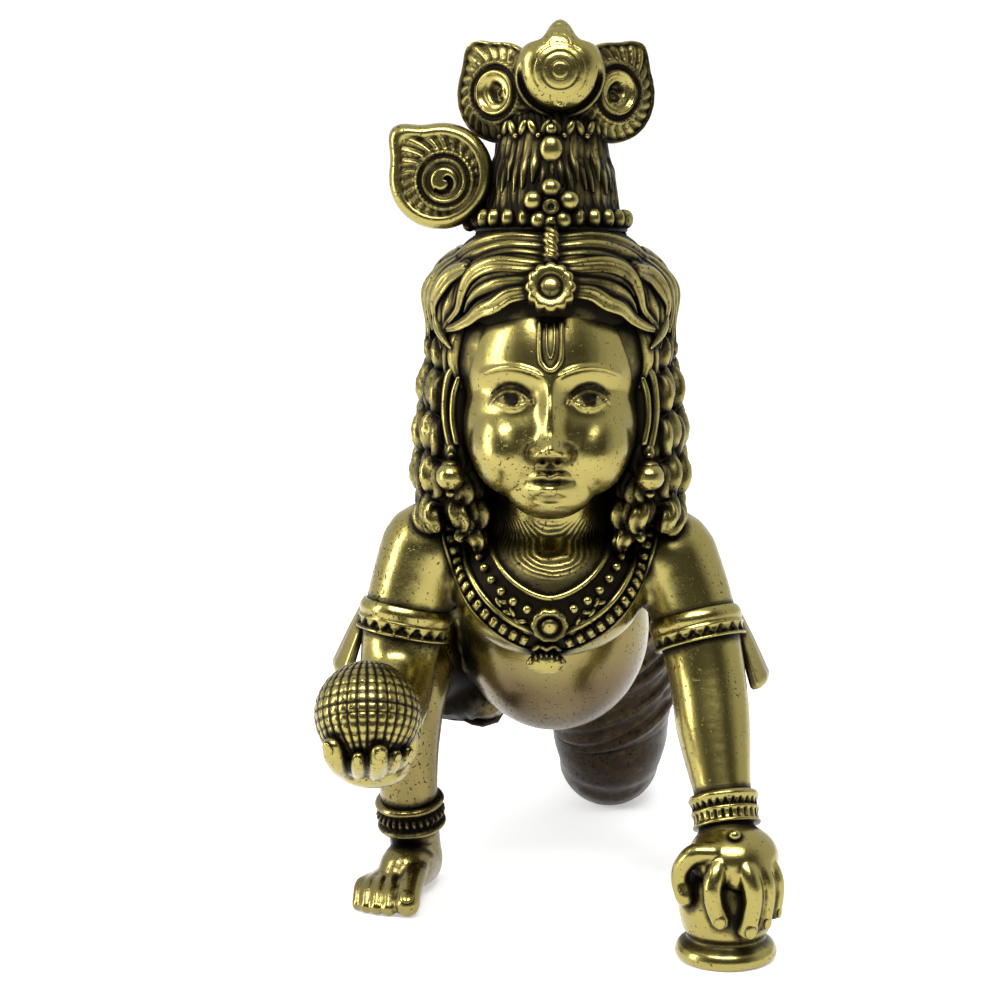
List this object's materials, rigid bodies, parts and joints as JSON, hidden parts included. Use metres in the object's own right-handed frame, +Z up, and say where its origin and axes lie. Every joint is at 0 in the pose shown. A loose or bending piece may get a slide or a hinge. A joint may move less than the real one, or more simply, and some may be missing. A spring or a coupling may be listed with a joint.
{
  "type": "laddu gopal idol",
  "caption": "Crawling baby Krishna cast in antiqued brass, holding out a butter ball and leaning on an upturned pot, with a peacock-feather crown.",
  "frame": {"origin": "centre of the idol's footprint box, on the surface that it stands on", "axes": "+Z up, the figure faces -Y, +X towards the figure's left hand on the pot"},
  "size_m": [0.0588, 0.1268, 0.12],
  "materials": {
    "antique_brass": "polished high points over dark antiqued recesses"
  },
  "bodies": {
    "root": {"krishna_idol": "antique_brass"}
  },
  "joints": []
}
